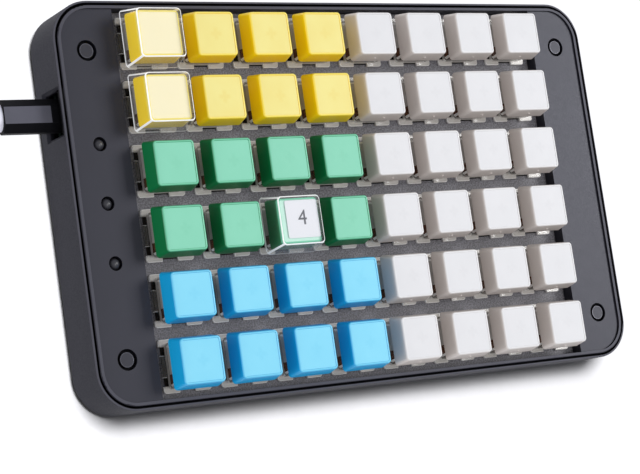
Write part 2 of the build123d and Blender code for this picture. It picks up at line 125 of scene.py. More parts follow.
# %% Points of the lead
usb_y = 27.4
usb_z = 10.5
upper_layer = 6.5
lower_layer = 1.8
free_points = [(-122.3, usb_y, usb_z), (-130.3, usb_y, usb_z)]
free_points += [(-141.3, usb_y, upper_layer), (-149.3, usb_y, upper_layer)]
first_middle = (-152.9, -3.8)
first_radius = 31.2
turns = 9
turn_radii = [30.0 - 2.4 * turn for turn in range(turns)]
last_radius = 38.0
last_height = 3.6
stops = turn_radii + turn_radii[::-1] + [last_radius]
heights = [upper_layer] * turns + [lower_layer] * turns + [last_height]
stop_x = [coil_middle[0] + (-1) ** (i + 1) * stop for i, stop in enumerate(stops)]
coil_points = []
for step in range(half_steps // 2):
    angle = math.pi * step / half_steps
    x = first_middle[0] - first_radius * math.sin(angle) * outset
    y = first_middle[1] + first_radius * math.cos(angle) * outset
    coil_points.append((x, y, upper_layer))
for i in range(len(stops) - 1):
    coil_points += half_turn(stop_x[i], stop_x[i + 1], heights[i], heights[i + 1], (-1) ** (i + 1))
cord_end = (stop_x[-1], coil_middle[1] - cord_width, last_height)
cord_points = free_points + coil_points + [(stop_x[-1], coil_middle[1], last_height), cord_end]
print("lead line:", len(cord_points), "points")

# %% [markdown]
# ## The lead as a curve
# A cord could be a swept mesh, but a curve with a round bevel keeps its line, so its length can be
# measured and its bends changed later. Each point carries half the cord's width as its radius.

# %% The lead as a curve
line = bpy.data.curves.new("usb_cord", "CURVE")
line.dimensions = "3D"
line.bevel_depth = 1.0
line.bevel_resolution = 5
line.resolution_u = 6
line.use_fill_caps = True
spline = line.splines.new("NURBS")
spline.points.add(len(cord_points) - 1)
for point, place in zip(spline.points, cord_points):
    point.co = (*(value * mm for value in place), 1.0)
    point.radius = cord_width / 2 * mm
spline.order_u = 3
spline.use_endpoint_u = True
cord = put("usb_cord", line)
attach(cord, "case")
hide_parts("usb_lead", "usb_coil")
print("lead length", round(spline.calc_length(), 4), "m")

# %% [markdown]
# ## Tools for finishes
# Every finish starts from the principled shader and reads Object coordinates, which are the keypad's
# own place in metres. Noise in patches of a known size drives small changes of roughness, colour and
# height: moulded plastic is never perfectly even. Each tool below adds one such change.

# %% Colours and patterns
def tone(red, green, blue):
    """A colour from screen values of 0 to 255."""
    def linear(value):
        share = value / 255
        return share / 12.92 if share <= 0.04045 else ((share + 0.055) / 1.055) ** 2.4
    return (linear(red), linear(green), linear(blue), 1.0)


def new_finish(name):
    """A material with its node tree, its shader and the coordinates that its patterns read."""
    material = bpy.data.materials.new(name)
    material.use_nodes = True
    tree = material.node_tree
    place = tree.nodes.new("ShaderNodeTexCoord").outputs["Object"]
    return material, tree, tree.nodes["Principled BSDF"], place


def cloud(tree, place, patch, detail=2.0):
    """Noise in patches of about one size, in millimetres."""
    node = tree.nodes.new("ShaderNodeTexNoise")
    node.inputs["Scale"].default_value = 1 / (patch * mm)
    node.inputs["Detail"].default_value = detail
    tree.links.new(place, node.inputs["Vector"])
    return node.outputs["Fac"]


def ranged(tree, value, start, end, low, high):
    """A value between start and end, carried over to the range from low to high."""
    node = tree.nodes.new("ShaderNodeMapRange")
    for name, number in zip(("From Min", "From Max", "To Min", "To Max"), (start, end, low, high)):
        node.inputs[name].default_value = number
    tree.links.new(value, node.inputs["Value"])
    return node.outputs["Result"]


def mixed(tree, share, first, second):
    """A colour between two others. Each may be a colour or another node's output."""
    node = tree.nodes.new("ShaderNodeMix")
    node.data_type = "RGBA"
    tree.links.new(share, node.inputs[0])
    for socket, colour in ((node.inputs[6], first), (node.inputs[7], second)):
        if isinstance(colour, tuple):
            socket.default_value = colour
        else:
            tree.links.new(colour, socket)
    return node.outputs[2]


print("tools: tone, new_finish, cloud, ranged, mixed")

# %% [markdown]
# ## Moulded plastic
# Most of the keypad is moulded plastic. Two close colours alternate in wide patches, fine noise sets
# the gloss, and the same noise is the grain that the mould leaves. One tool makes them all, so a finish
# is told by its colours, its range of gloss, the size of its grain and how strongly it mirrors.

# %% Moulded plastic
noise_low = 0.3
noise_high = 0.7
cool_mirror = (0.86, 0.87, 1.0, 1.0)


def uneven(tree, shader, noise, gloss):
    """Roughness that follows the noise, from the first value of gloss to the second."""
    tree.links.new(ranged(tree, noise, noise_low, noise_high, *gloss), shader.inputs["Roughness"])


def skin(tree, shader, pattern, relief, strength):
    """A fine relief on the surface: its height in millimetres, and how strongly it shows."""
    node = tree.nodes.new("ShaderNodeBump")
    node.inputs["Distance"].default_value = relief * mm
    node.inputs["Strength"].default_value = strength
    tree.links.new(pattern, node.inputs["Height"])
    tree.links.new(node.outputs["Normal"], shader.inputs["Normal"])


def moulded(name, first, second, gloss, grain, relief, mirror=0.5):
    """Moulded plastic: two close colours in soft patches, uneven gloss and a fine grain."""
    material, tree, shader, place = new_finish(name)
    wide = cloud(tree, place, 30 * grain)
    fine = cloud(tree, place, grain)
    tree.links.new(mixed(tree, wide, tone(*first), tone(*second)), shader.inputs["Base Color"])
    uneven(tree, shader, fine, gloss)
    shader.inputs["Specular IOR Level"].default_value = mirror
    shader.inputs["Specular Tint"].default_value = cool_mirror
    skin(tree, shader, fine, *relief)
    return material


print("tools: uneven, skin, moulded")

# %% [markdown]
# ## Finishes of the case and the lead
# The cover is black with a fine matt grain and the tray has a satin skin. The bead and the lip get a
# paler painted highlight, and the groove between cover and tray is painted nearly black as shade,
# because no light gets in. A dark gap could be left to the shadows, but it is so narrow that a black
# finish is steadier. The lead is pale.

# %% Case and lead finishes
case_black = moulded(
    "case_black_grained", (33, 33, 40), (38, 38, 46), (0.34, 0.46), 0.28, (0.02, 0.3), 0.33
)
tray_black = moulded(
    "tray_black_satin", (37, 37, 43), (43, 43, 50), (0.5, 0.65), 0.4, (0.02, 0.22), 0.12
)
rim_painted_highlight = moulded(
    "rim_painted_highlight", (74, 74, 82), (82, 82, 90), (0.3, 0.4), 0.3, (0.01, 0.1), 0.12
)
fastener_black = moulded(
    "plug_black_satin", (34, 34, 40), (40, 40, 46), (0.34, 0.46), 0.3, (0.015, 0.2), 0.33
)
gap_painted_shade = moulded("gap_painted_shade", (9, 9, 11), (13, 13, 15), (0.6, 0.7), 0.4, (0.01, 0.1), 0.05)
# The plug's chamfer ring gets a paler painted highlight.
plug_ring_painted_highlight = moulded(
    "plug_edge_painted_highlight", (84, 84, 92), (96, 96, 104), (0.16, 0.26), 0.3, (0.01, 0.1)
)
grip_black = moulded("grip_black", (11, 11, 14), (15, 15, 18), (0.45, 0.6), 0.25, (0.02, 0.3), 0.1)
grip_flat = moulded(
    "grip_flat_matt", (80, 80, 90), (92, 92, 102), (0.6, 0.75), 0.2, (0.04, 0.5), 0.3
)
foot_rubber = moulded("foot_rubber", (30, 30, 31), (38, 38, 39), (0.7, 0.9), 0.5, (0.05, 0.6))
cord_pale = moulded("cord_pale", (205, 204, 214), (222, 222, 232), (0.38, 0.52), 0.8, (0.03, 0.25))
boot_pale = moulded("boot_pale", (226, 226, 238), (236, 236, 248), (0.3, 0.42), 0.5, (0.02, 0.2))
strap_black = moulded("strap_woven", (30, 30, 33), (52, 52, 56), (0.75, 0.95), 0.35, (0.12, 0.9))
line.materials.append(cord_pale)
print("case and lead finishes made")

# %% [markdown]
# ## Finishes of the plate, the board and the metal
# The plate in the well is painted and sandy, so it gets light and dark specks instead of soft patches.
# Drawn or stamped metal has fine streaks along one way: stretching the coordinates stretches the noise.

# %% Plate, board and metal finishes
plate_sand, tree, shader, place = new_finish("plate_sand_grey")
speck = cloud(tree, place, 0.45, 0.0)
speck_share = ranged(tree, speck, noise_low, noise_high, 0.0, 1.0)
sand = mixed(tree, speck_share, tone(92, 91, 96), tone(138, 136, 142))
tree.links.new(sand, shader.inputs["Base Color"])
uneven(tree, shader, speck, (0.5, 0.75))
skin(tree, shader, speck, 0.05, 0.5)

board_green = moulded("board_green", (6, 17, 12), (8, 21, 15), (0.4, 0.55), 1.2, (0.03, 0.3), 0.2)
chip_black = moulded("chip_black", (28, 28, 30), (36, 36, 38), (0.5, 0.65), 0.2, (0.02, 0.4))


def metal(name, colour, along, across):
    """Drawn or stamped metal, with fine streaks along one way."""
    material, tree, shader, place = new_finish(name)
    stretch = tree.nodes.new("ShaderNodeMapping")
    stretch.inputs["Scale"].default_value = along
    tree.links.new(place, stretch.inputs["Vector"])
    streak = cloud(tree, stretch.outputs["Vector"], across, 3.0)
    shader.inputs["Base Color"].default_value = tone(*colour)
    shader.inputs["Metallic"].default_value = 1.0
    uneven(tree, shader, streak, (0.22, 0.42))
    skin(tree, shader, streak, 0.01, 0.3)
    return material


shell_steel = metal("shell_steel", (196, 197, 201), (0.15, 0.15, 1.0), 0.2)
spring_steel = metal("spring_steel", (205, 200, 188), (1.0, 1.0, 1.0), 0.3)
leaf_copper = metal("leaf_copper", (196, 128, 82), (1.0, 1.0, 0.15), 0.2)
screw_steel = metal("screw_black_steel", (70, 70, 74), (1.0, 1.0, 0.2), 0.2)
print("plate, board and metal finishes made")

# %% [markdown]
# ## Finishes of the caps
# The colour follows the height: a painted highlight brightens a cap's rim, and its sides below are
# deeper. The top has its own paler finish, a painted sheen of the light above, with a faint cross, the
# sink mark that the post underneath leaves. The grid of keys is regular, so wrapping the coordinates by
# the key pitch puts the mark in the middle of every cap.

# %% Sides of a cap
key_pitch = 19.05
cap_low = 20.6
cap_top = 26.1
painted_highlight_band = 0.55


def worked(tree, operation, *values):
    """A sum on values. Each may be a number or another node's output."""
    node = tree.nodes.new("ShaderNodeMath")
    node.operation = operation
    for socket, value in zip(node.inputs, values):
        if isinstance(value, float):
            socket.default_value = value
        else:
            tree.links.new(value, socket)
    return node.outputs[0]


def along_axis(tree, place, axis):
    """The place of a point along one axis."""
    parts = tree.nodes.new("ShaderNodeSeparateXYZ")
    tree.links.new(place, parts.inputs["Vector"])
    return parts.outputs[axis]


def cap_side_finish(name, deep, bright):
    """The sides and rim of a cap, with a painted highlight brightening towards its top edge."""
    material, tree, shader, place = new_finish(name)
    height = along_axis(tree, place, "Z")
    rise = ranged(tree, height, (cap_top - painted_highlight_band) * mm, cap_top * mm, 0.0, 1.0)
    curve = worked(tree, "POWER", rise, 2.0)
    fine = cloud(tree, place, 0.4)
    tree.links.new(mixed(tree, curve, tone(*deep), tone(*bright)), shader.inputs["Base Color"])
    uneven(tree, shader, fine, (0.3, 0.42))
    skin(tree, shader, fine, 0.01, 0.2)
    return material


cap_sides = {
    "yellow": cap_side_finish("cap_yellow", (255, 219, 2), (246, 228, 110)),
    "green": cap_side_finish("cap_green", (1, 114, 62), (118, 204, 168)),
    "blue": cap_side_finish("cap_blue", (9, 164, 224), (118, 210, 242)),
    # The white sides are painted a warm grey: painted shade and a painted bounce from the neighbouring
    # caps.
    "white": cap_side_finish("cap_white", (212, 204, 199), (228, 228, 230)),
}
# The step round the recess is painted deeper than the rim: painted shade along the recess wall.
shaded_cap_steps = {
    "yellow": cap_side_finish("cap_step_painted_shade_yellow", (240, 190, 20), (246, 216, 84)),
    "green": cap_side_finish("cap_step_painted_shade_green", (20, 130, 84), (60, 170, 124)),
    "blue": cap_side_finish("cap_step_painted_shade_blue", (20, 150, 210), (80, 188, 228)),
    "white": cap_side_finish("cap_step_painted_shade_white", (214, 212, 212), (226, 225, 226)),
}
print("cap colours:", ", ".join(cap_sides))

# %% Tops of the caps
cross_long = (1.2, 2.4)
cross_short = (0.3, 1.0)
cross_strength = 0.65


def from_key_middle(tree, place, axis):
    """How far a point lies from the middle of its key along one axis, in millimetres."""
    wrapped = worked(tree, "WRAP", along_axis(tree, place, axis), key_pitch * mm, 0.0)
    half = key_pitch / 2
    return worked(tree, "ABSOLUTE", ranged(tree, wrapped, 0.0, key_pitch * mm, -half, half))


def cap_top_finish(name, colour, marked):
    """The top of a cap, paler than its sides as a painted sheen of the light above, with the faint cross
    of its post.
    """
    material, tree, shader, place = new_finish(name)
    reach = [from_key_middle(tree, place, axis) for axis in ("X", "Y")]
    arms = []
    for long, short in (reach, reach[::-1]):
        along = ranged(tree, long, *cross_long, 1.0, 0.0)
        across = ranged(tree, short, *cross_short, 1.0, 0.0)
        arms.append(worked(tree, "MULTIPLY", along, across))
    cross = worked(tree, "MAXIMUM", *arms)
    fine = cloud(tree, place, 0.3)
    even = mixed(tree, cloud(tree, place, 9.0), tone(*colour), tone(*marked))
    faint = ranged(tree, cross, 0.0, 1.0, 0.0, cross_strength)
    tree.links.new(mixed(tree, faint, even, tone(*marked)), shader.inputs["Base Color"])
    uneven(tree, shader, fine, (0.42, 0.58))
    grain = ranged(tree, fine, noise_low, noise_high, 0.0, 0.25)
    skin(tree, shader, worked(tree, "MULTIPLY_ADD", cross, -1.0, grain), 0.03, 0.5)
    return material


# The tops are painted paler than the sides: a painted sheen of the light above.
painted_sheen_tops = {
    "yellow": cap_top_finish("cap_top_painted_sheen_yellow", (240, 230, 144), (235, 217, 121)),
    "green": cap_top_finish("cap_top_painted_sheen_green", (130, 211, 181), (122, 204, 173)),
    "blue": cap_top_finish("cap_top_painted_sheen_blue", (130, 217, 244), (118, 209, 239)),
    "white": cap_top_finish("cap_top_painted_sheen_white", (223, 223, 226), (216, 216, 219)),
}
# Under a cover the tops are a pale cream: a painted haze of the lit clear cover over them.
covered_tops_painted_haze = {
    "yellow": cap_top_finish("cap_top_covered_painted_haze_yellow", (247, 238, 198), (246, 236, 194)),
    "green": cap_top_finish("cap_top_covered_painted_haze_green", (196, 236, 220), (190, 232, 215)),
}
print("cap tops:", len(painted_sheen_tops), "plain and", len(covered_tops_painted_haze), "under a cover")

# %% [markdown]
# ## Clear and milky plastic
# The covers are clear and the switch housings milky. Bending the light through every thin wall would be
# true, but small shells then turn dark. So the plastic is made partly see-through: a low alpha where
# the wall is seen face-on, a higher one edge-on, and nearly solid white edges, a painted highlight,
# which on the covers also glow a little, as painted light for the light that the wall leads out there.

# %% Clear and paper finishes
def clear(name, colour, passing, gloss, solid=1.0, edge_on=None, glow=0.0):
    """Clear plastic: the light it bends, its gloss, how much of it is seen, also edge-on, and its glow."""
    material, tree, shader, place = new_finish(name)
    fine = cloud(tree, place, 1.5)
    shader.inputs["Base Color"].default_value = tone(*colour)
    shader.inputs["Transmission Weight"].default_value = passing
    shader.inputs["IOR"].default_value = 1.49
    shader.inputs["Alpha"].default_value = solid
    shader.inputs["Emission Color"].default_value = tone(*colour)
    shader.inputs["Emission Strength"].default_value = glow
    if edge_on is not None:
        facing = tree.nodes.new("ShaderNodeLayerWeight").outputs["Facing"]
        tree.links.new(ranged(tree, facing, 0.5, 1.0, solid, edge_on), shader.inputs["Alpha"])
    uneven(tree, shader, fine, gloss)
    skin(tree, shader, fine, 0.01, 0.1)
    return material


cover_clear = clear("cover_clear", (248, 248, 255), 0.3, (0.03, 0.06), 0.03, 0.36)
# The white, faintly glowing edge finish is a painted highlight.
cover_edge_painted_highlight = clear("cover_edge_painted_highlight", (255, 255, 255), 0.0, (0.1, 0.16), 0.95, glow=0.12)
housing_clear = clear("housing_clear", (128, 80, 54), 0.2, (0.06, 0.12), 0.75)
housing_edge_painted_highlight = clear("housing_edge_painted_highlight", (255, 253, 250), 0.0, (0.08, 0.16), 0.95)
housing_milky = clear("housing_milky", (252, 247, 241), 0.0, (0.08, 0.16), 0.62)
housing_haze = clear("housing_haze", (164, 160, 154), 0.0, (0.08, 0.16), 0.3)
housing_painted_shade = clear("housing_painted_shade", (58, 54, 50), 0.3, (0.1, 0.2))
lamp_smoke = clear("lamp_smoke", (52, 52, 58), 0.0, (0.3, 0.4))
slider_brown = moulded("slider_brown", (112, 66, 40), (124, 74, 46), (0.35, 0.5), 0.3, (0.02, 0.2))
label_paper = moulded("label_paper", (229, 230, 234), (235, 236, 240), (0.6, 0.8), 0.25, (0.02, 0.3))
legend_ink = moulded("legend_ink", (92, 94, 98), (104, 106, 110), (0.6, 0.75), 0.2, (0.01, 0.2))
print("clear and paper finishes made")

# %% [markdown]
# ## Tools for shapes
# Most pieces begin as a cube that is scaled, moved, narrowed at the top and bevelled. Faces are then
# stepped in or sunk to make rims and hollows. An extruded face leaves its first copy behind, which
# would close the hollow with a lid inside, so that copy is deleted.

# %% Blocks and rounds
up = Vector((0, 0, 1))
down = Vector((0, 0, -1))


def block(bm, length, width, low, high, x=0, y=0):
    """A box between two heights. Gives back its corners."""
    corners = bmesh.ops.create_cube(bm, size=1.0)["verts"]
    bmesh.ops.scale(bm, vec=(length, width, high - low), verts=corners)
    bmesh.ops.translate(bm, vec=(x, y, (low + high) / 2), verts=corners)
    return corners


def edges_of(corners, axis=None):
    """The edges between these corners, or those that run mainly along one axis."""
    chosen = set(corners)
    edges = {edge for corner in corners for edge in corner.link_edges}
    edges = [edge for edge in edges if edge.verts[0] in chosen and edge.verts[1] in chosen]
    if axis is None:
        return edges
    return [e for e in edges if abs((e.verts[1].co - e.verts[0].co).normalized()[axis]) > 0.8]


def rounded(bm, edges, radius, segments):
    """Bevel these edges to a round."""
    bmesh.ops.bevel(
        bm,
        geom=list(edges),
        offset=radius,
        offset_type="OFFSET",
        segments=segments,
        profile=0.5,
        affect="EDGES",
        clamp_overlap=True,
        material=-1,
    )
    bm.normal_update()


def tapered(bm, base_width, top_width, low, high, corner, segments):
    """A square box that narrows to its top, with rounded upright edges."""
    corners = block(bm, base_width, base_width, low, high)
    share = top_width / base_width
    upper = [point for point in corners if point.co.z > (low + high) / 2]
    bmesh.ops.scale(bm, vec=(share, share, 1), verts=upper)
    rounded(bm, edges_of(corners, 2), corner, segments)


print("tools: block, edges_of, rounded, tapered")

# %% Faces
def only(items, kind):
    """Those of the items that are of one kind, such as corners or faces."""
    return [item for item in items if isinstance(item, kind)]


def largest_face(bm, direction):
    """The largest face that looks one way."""
    return max(bm.faces, key=lambda face: face.normal.dot(direction) ** 3 * face.calc_area())


def step_in(bm, face, width, depth=0.0):
    """Inset a face by a width, and sink it by a depth."""
    bmesh.ops.inset_region(
        bm, faces=[face], thickness=width, depth=-depth, use_boundary=True, use_even_offset=True
    )


def sunk(bm, face, share, depth):
    """Extrude a face inwards by a depth, and shrink it to a share of its size."""
    inward = face.normal * -depth
    made = bmesh.ops.extrude_face_region(bm, geom=[face])["geom"]
    bmesh.ops.delete(bm, geom=[face], context="FACES_ONLY")
    corners = only(made, bmesh.types.BMVert)
    bmesh.ops.scale(bm, vec=(share, share, 1), verts=corners)
    bmesh.ops.translate(bm, vec=inward, verts=corners)
    return only(made, bmesh.types.BMFace)[0]


def cut_across(bm, place, way):
    """Split the faces that a plane crosses, and take nothing away."""
    every = list(bm.verts) + list(bm.edges) + list(bm.faces)
    bmesh.ops.bisect_plane(bm, geom=every, plane_co=place, plane_no=way)
    bm.normal_update()


print("tools: only, largest_face, step_in, sunk, cut_across")

# %% [markdown]
# ## From a shape to a piece
# A finished shape is scaled to metres and shaded smooth except at real corners. Its object stays at the
# origin with its place in the mesh, so every pattern on Object coordinates lies still. Then the piece
# is told which body it rides on and which solids it stands for.

# %% Finished pieces
def to_mesh(name, bm, finishes, sharp=38):
    """A mesh in metres with its finishes, smooth up to an angle."""
    bmesh.ops.scale(bm, vec=(mm, mm, mm), verts=bm.verts)
    bm.normal_update()
    mesh = bpy.data.meshes.new(name)
    bm.to_mesh(mesh)
    bm.free()
    for finish in finishes:
        mesh.materials.append(finish)
    mesh.shade_smooth()
    mesh.set_sharp_from_angle(angle=math.radians(sharp))
    return mesh


def show(name, mesh, nodes, body="case"):
    """Put a finished mesh in the scene as a piece that rides on a body and stands for its nodes."""
    piece = put(name, mesh)
    even = piece.modifiers.new("even_shading", "WEIGHTED_NORMAL")
    even.keep_sharp = True
    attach(piece, body)
    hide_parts(*nodes)
    return piece


def finished(name, bm, finishes, node, sharp=38):
    """A shape at its place on the case, made a piece that stands for one node."""
    return show(name, to_mesh(name, bm, finishes, sharp), [node])


print("tools: to_mesh, show, finished")

# %% [markdown]
# ## Key caps
# A cap is a hollow tapered box with a raised rim and a post under its roof. A cube is narrowed at the
# top, its upright edges are rounded, then its top edge. Two insets make the rim and the shallow recess,
# and two faces sunk from below make it hollow. White caps keep the small gate mark of the mould on the
# front. A covered cap is drawn a little higher and wider, as thick clear plastic lifts what is under it.

# %% One cap
cap_base_width = 15.0
cap_top_width = 13.2
cap_corner = 1.1
cap_edge = 0.42
rim_flat = 0.1
rim_slope = 0.12
rim_depth = 0.2
cap_wall = 1.1
cap_ceiling = 24.9
ceiling_share = 0.91
post_width = 5.6
post_top = cap_ceiling + 0.2
plunger_top = 20.7
gate_size = (0.5, 0.25, 0.4)
gate_place = (0, -7.12, cap_low + 2.4)
lifted = 0.9
widened = 0.3


def cap_form(gate_mark, top, top_width):
    """A cap at the middle. Its recess has the second finish, and the step round it the third, painted
    darker as shade.
    """
    bm = bmesh.new()
    tapered(bm, cap_base_width, top_width, cap_low, top, cap_corner, 6)
    rounded(bm, largest_face(bm, up).edges, cap_edge, 4)
    roof = largest_face(bm, up)
    step_in(bm, roof, rim_flat)
    step_in(bm, roof, rim_slope, rim_depth)
    for edge in roof.edges:
        for face in edge.link_faces:
            face.material_index = 2
    roof.material_index = 1
    under = sunk(bm, largest_face(bm, down), 1 - 2 * cap_wall / cap_base_width, 0)
    sunk(bm, under, ceiling_share, cap_ceiling - cap_low)
    post = bmesh.ops.create_cone(
        bm,
        cap_ends=True,
        segments=20,
        radius1=post_width / 2,
        radius2=post_width / 2,
        depth=post_top - plunger_top,
    )["verts"]
    bmesh.ops.translate(bm, vec=(0, 0, (post_top + plunger_top) / 2), verts=post)
    if gate_mark:
        mark = bmesh.ops.create_icosphere(bm, subdivisions=2, radius=1.0)["verts"]
        bmesh.ops.scale(bm, vec=gate_size, verts=mark)
        bmesh.ops.translate(bm, vec=gate_place, verts=mark)
    return bm


plain_cap = to_mesh("cap", cap_form(False, cap_top, cap_top_width), ())
white_cap = to_mesh("cap_gated", cap_form(True, cap_top, cap_top_width), ())
covered_cap = to_mesh("cap_covered", cap_form(False, cap_top + lifted, cap_top_width + widened), ())
print("cap:", len(plain_cap.polygons), "faces")

# %% [markdown]
# ## All the keys
# The caps differ only in colour and place, so one shape is copied for each key and moved in its mesh.
# The left half is yellow, green and blue in pairs of rows, and the right half is white.

# %% Caps at their places
keys = [(row, column) for row in range(1, 7) for column in range(1, 9)]
row_colours = ("yellow", "yellow", "green", "green", "blue", "blue")
coloured_columns = 4
covered_keys = [(1, 1), (2, 1), (4, 3)]


def key_place(row, column):
    """The middle of a key: row 1 is the back row, column 1 the left one."""
    return (column - 4.5) * key_pitch, (3.5 - row) * key_pitch


def on_key(form, part, key, finishes, node=None):
    """A copy of a shape at one key's place. It rides on the key, or on the case if a node is named."""
    name = "key_r{}_c{}".format(*key)
    mesh = form.copy()
    mesh.name = name + part
    x, y = key_place(*key)
    mesh.transform(Matrix.Translation((x * mm, y * mm, 0)))
    for finish in finishes:
        mesh.materials.append(finish)
    if node:
        return show(name + part, mesh, [node])
    return show(name + part, mesh, [name], name)


for row, column in keys:
    colour = row_colours[row - 1] if column <= coloured_columns else "white"
    form = white_cap if colour == "white" else plain_cap
    finishes = (cap_sides[colour], painted_sheen_tops[colour], shaded_cap_steps[colour])
    # Covered caps take the cream tops, a painted haze of the lit cover, on recess and step alike.
    if (row, column) in covered_keys:
        form = covered_cap
        finishes = (cap_sides[colour], covered_tops_painted_haze[colour], covered_tops_painted_haze[colour])
    on_key(form, "_cap", (row, column), finishes)
print("caps:", len(keys))

# %% [markdown]
# ## Clear covers
# Three caps wear a clear cover: a thin tapered shell that snaps on with a clip at the front. It is made
# as the cap is, with a cavity sunk from below. What the eye sees of it are its edges, so the rounds
# along the corners, and a narrow band that a cut marks off at the lower edge, get the white, faintly
# glowing finish: a painted highlight along the edges.

# %% Clear covers
cover_low = 19.8
cover_top = 28.0
cover_base_width = 17.4
cover_top_width = 14.6
cover_seat = 27.2
cover_wall = 0.8
cover_seat_share = 0.866
cover_corner = 1.3
cover_round = 0.55
cover_band = cover_low + 0.4
largest_round = 60
clip_size = (3.2, 0.7)
clip_heights = (cover_low + 0.1, cover_low + 1.1)
clip_y = -cover_base_width / 2 + 0.25


def cover_form():
    """A clear shell over a cap."""
    bm = bmesh.new()
    tapered(bm, cover_base_width, cover_top_width, cover_low, cover_top, cover_corner, 6)
    rounded(bm, largest_face(bm, up).edges, cover_round, 4)
    for face in bm.faces:
        # A face turns if it looks between two sides, or between a side and the top.
        x, y, z = (abs(value) for value in face.normal)
        turning = abs(x - y) < 0.3 if z < 0.4 else z < 0.9
        face.material_index = 1 if turning and face.calc_area() < largest_round else 0
    under = sunk(bm, largest_face(bm, down), 1 - 2 * cover_wall / cover_base_width, 0)
    sunk(bm, under, cover_seat_share, cover_seat - cover_low)
    cut_across(bm, (0, 0, cover_band), up)
    for face in bm.faces:
        middle = face.calc_center_median()
        outer = face.normal.z > -0.5 and face.normal.xy.dot(middle.xy) > 0
        if outer and middle.z < cover_band:
            face.material_index = 1
    clip = block(bm, *clip_size, *clip_heights, 0, clip_y)
    rounded(bm, edges_of(clip), 0.2, 2)
    return bm


shell = to_mesh("cover", cover_form(), ())
for key in covered_keys:
    on_key(shell, "_cover", key, (cover_clear, cover_edge_painted_highlight))
print("covers:", len(covered_keys))

# %% [markdown]
# ## Label and numeral
# One cover holds a square of white paper with a grey numeral. Both are drawn where the clear plastic
# makes them seem to lie, a little high and to the right. The numeral is text that is made a mesh first,
# so that it can be laid flat on the paper.

# %% Label and numeral
labelled_key = (4, 3)
label_size = (11.1, 11.3)
label_heights = (27.01, 27.09)
label_place = (0.95, 0.4)
label_corner = 0.5
numeral_place = (0.95, 0.6, 27.11)
bm = bmesh.new()
paper = block(bm, *label_size, *label_heights, *label_place)
rounded(bm, edges_of(paper, 2), label_corner, 3)
on_key(to_mesh("label", bm, ()), "_label", labelled_key, (label_paper,))

words = bpy.data.curves.new("numeral", "FONT")
words.body = "4"
words.size = 6.4
words.align_x = "CENTER"
words.align_y = "CENTER"
words.extrude = 0.02
holder = put("numeral", words)
bpy.context.view_layer.update()
numeral = bpy.data.meshes.new_from_object(holder)
bpy.data.objects.remove(holder)
numeral.transform(Matrix.Translation(numeral_place))
numeral.transform(Matrix.Scale(mm, 4))
on_key(numeral, "_numeral", labelled_key, (legend_ink,))
print("label with a numeral on key", labelled_key)

# %% [markdown]
# ## Sliders
# Each cap stands on a brown slider, the moving core of its switch. It is a plunger with a shoulder that
# stops it under the housing's roof, and a cross that grips the cap's post.

# %% Sliders
plunger = (6.8, 6.2, 15.0, plunger_top)
shoulder = (8.2, 7.4, 17.9, 19.2)
slider_round = 0.2
cross_span = 4.0
cross_arm = 1.2
cross_heights = (20.6, 24.1)
bm = bmesh.new()
for sizes in (plunger, shoulder):
    rounded(bm, edges_of(block(bm, *sizes)), slider_round, 2)
for length, width in ((cross_span, cross_arm), (cross_arm, cross_span)):
    block(bm, length, width, *cross_heights)
core = to_mesh("slider", bm, ())
for key in keys:
    on_key(core, "_slider", key, (slider_brown,))
print("slider:", len(core.polygons), "faces")

# %% [markdown]
# ## Springs
# A spring in each switch pushes the slider back. It could be a curve, but here a small ring is spun
# several times while it climbs, which gives a mesh at once. A spring can't follow its key without being
# pressed together, so it rides on the case. Its upper end runs into
# the slider, because the slider is drawn here without its bore.

# %% Springs
spring_low = 9.9
spring_high = 17.4
spring_width = 4.2
spring_wire = 0.5
spring_turns = 6
spring_steps = 14 * spring_turns
bm = bmesh.new()
ring = bmesh.ops.create_circle(bm, segments=6, radius=spring_wire / 2)["verts"]
bmesh.ops.rotate(bm, cent=(0, 0, 0), matrix=Matrix.Rotation(math.pi / 2, 3, "X"), verts=ring)
ring_place = ((spring_width - spring_wire) / 2, 0, spring_low + spring_wire / 2)
bmesh.ops.translate(bm, vec=ring_place, verts=ring)
bmesh.ops.spin(
    bm,
    geom=list(bm.verts) + list(bm.edges),
    cent=(0, 0, 0),
    axis=(0, 0, 1),
    dvec=(0, 0, (spring_high - spring_low - spring_wire) / spring_steps),
    angle=2 * math.pi * spring_turns,
    steps=spring_steps,
)
bmesh.ops.holes_fill(bm, edges=[edge for edge in bm.edges if edge.is_boundary], sides=0)
bmesh.ops.recalc_face_normals(bm, faces=bm.faces)
coiled = to_mesh("spring", bm, (), 60)
for key in keys:
    spring = on_key(coiled, "_spring", key, (spring_steel,), "return_springs")
    x, y = key_place(*key)
    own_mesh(spring)
print("spring:", len(coiled.polygons), "faces")

# %% [markdown]
# ## Lower switch housings
# The lower half of a switch hangs in the plate and is drawn dark, as painted shade inside it. What shows
# from above are four milky corner tabs on the plate, with a bar between them on each side. The bars on
# the left and right are hazy, so the cells beside them look dark. Small faces of tabs and bars are
# white, a painted highlight. One switch is built from blocks and copied to every key.

# %% Lower housings
key_places = [key_place(*key) for key in keys]
board_top = 8.9
plate_top = 13.9
flange_top = 14.9
bar_top = flange_top + 0.2
lower_width = 13.6
lower_top = plate_top - 0.2
lower_wall = 1.2
lower_draft = 0.05
lower_depth = 3.6


def repeated(bm, places):
    """Copy the shape at the middle to each place, and take the first one away."""
    first = list(bm.verts) + list(bm.edges) + list(bm.faces)
    for x, y in places:
        copy = bmesh.ops.duplicate(bm, geom=first)["geom"]
        bmesh.ops.translate(bm, vec=(x, y, 0), verts=only(copy, bmesh.types.BMVert))
    bmesh.ops.delete(bm, geom=only(first, bmesh.types.BMVert), context="VERTS")


bm = bmesh.new()
block(bm, lower_width, lower_width, board_top, lower_top)
bm.normal_update()
lid = largest_face(bm, up)
step_in(bm, lid, lower_wall)
step_in(bm, lid, lower_draft, lower_depth)
repeated(bm, key_places)
finished("switch_lower_housings", bm, (housing_painted_shade,), "switch_bases")
print("lower housings:", len(key_places))

